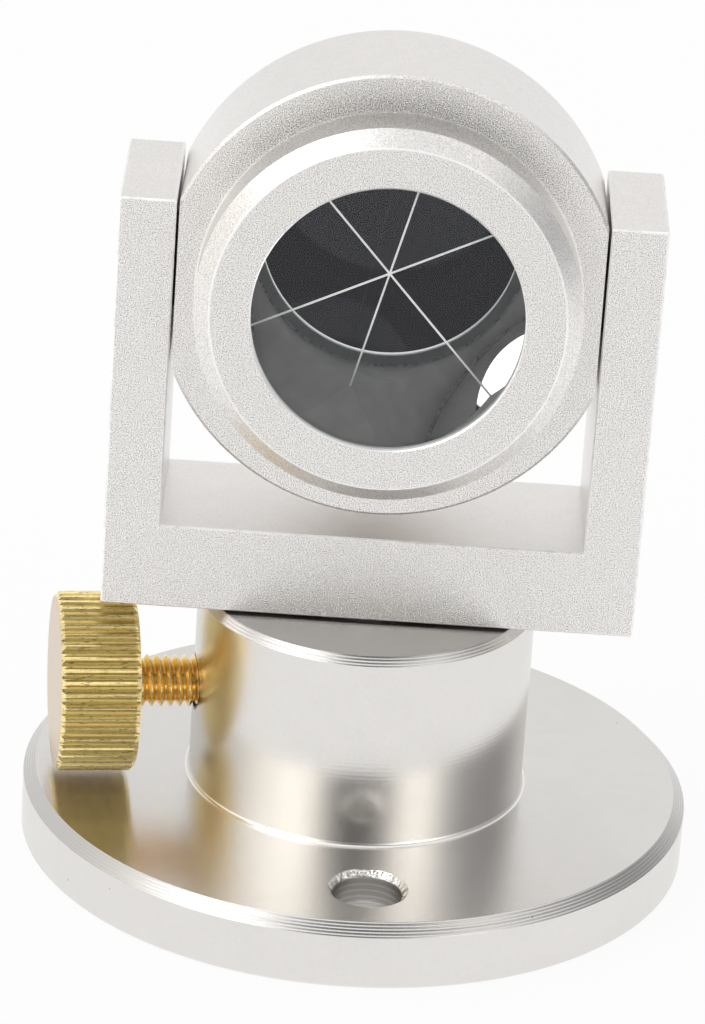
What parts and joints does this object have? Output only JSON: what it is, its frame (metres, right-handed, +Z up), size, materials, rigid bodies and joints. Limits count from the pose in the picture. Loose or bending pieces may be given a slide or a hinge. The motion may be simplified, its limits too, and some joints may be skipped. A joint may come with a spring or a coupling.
{
  "type": "surveying prism",
  "caption": "Corner-cube surveying target prism in a round housing that tilts in a U-shaped yoke, which swivels on a round screw-down base with a knurled clamp screw.",
  "frame": {"origin": "centre of the base's underside", "axes": "+Z up along the swivel axis, -Y the way the glass looks at rest, +X to the right seen from the front"},
  "size_m": [0.064, 0.064, 0.0794],
  "materials": {
    "base_aluminium": "turned, clear anodised satin",
    "blasted_aluminium": "bead blasted, clear anodised matte",
    "brass": "turned and straight knurled",
    "bronze": "sintered",
    "steel": "turned",
    "spring_steel": "tempered",
    "black_steel": "black oxide",
    "black_aluminium": "black anodised",
    "nylon": "black, plain",
    "black_rubber": "plain",
    "prism_glass": "polished, silvered on the three back faces"
  },
  "bodies": {
    "base": {"mounting_base": "base_aluminium"},
    "clamp": {"clamp_pad": "nylon"},
    "thumbscrew": {"thumbscrew": "brass"},
    "swivel": {"yoke": "blasted_aluminium", "spigot": "steel", "swivel_washer": "nylon", "spring_washer": "spring_steel", "retaining_washer": "steel", "retaining_screw": "steel", "pivot_screw_left": "black_steel", "pivot_screw_right": "black_steel"},
    "prism": {"prism_housing": "blasted_aluminium", "corner_prism": "prism_glass", "front_seal": "black_rubber", "glass_cushion": "black_rubber", "glass_retainer": "black_aluminium", "rear_cover": "blasted_aluminium", "rear_cover_seal": "black_rubber", "pivot_bush_left": "bronze", "pivot_bush_right": "bronze", "friction_washer_left": "nylon", "friction_washer_right": "nylon"}
  },
  "joints": [
    {"name": "yoke_swivel", "type": "hinge", "parent": "base", "child": "swivel", "pos_m": [0, 0, 0.0258], "axis": [0, 0, 1], "continuous": true},
    {"name": "prism_tilt", "type": "hinge", "parent": "swivel", "child": "prism", "pos_m": [0, 0, 0.0579], "axis": [1, 0, 0], "continuous": true},
    {"name": "clamp_slide", "type": "slide", "parent": "base", "child": "clamp", "axis": [-0.9885, -0.1513, 0], "range_m": [0, 0.0037]},
    {"name": "thumbscrew_turn", "type": "hinge", "parent": "clamp", "child": "thumbscrew", "pos_m": [0, 0, 0.01595], "axis": [-0.9885, -0.1513, 0], "range_deg": [0, 1440]}
  ],
  "couplings": [
    {"joint": "clamp_slide", "follows": "thumbscrew_turn", "m_per_rad": 0.00014324}
  ]
}
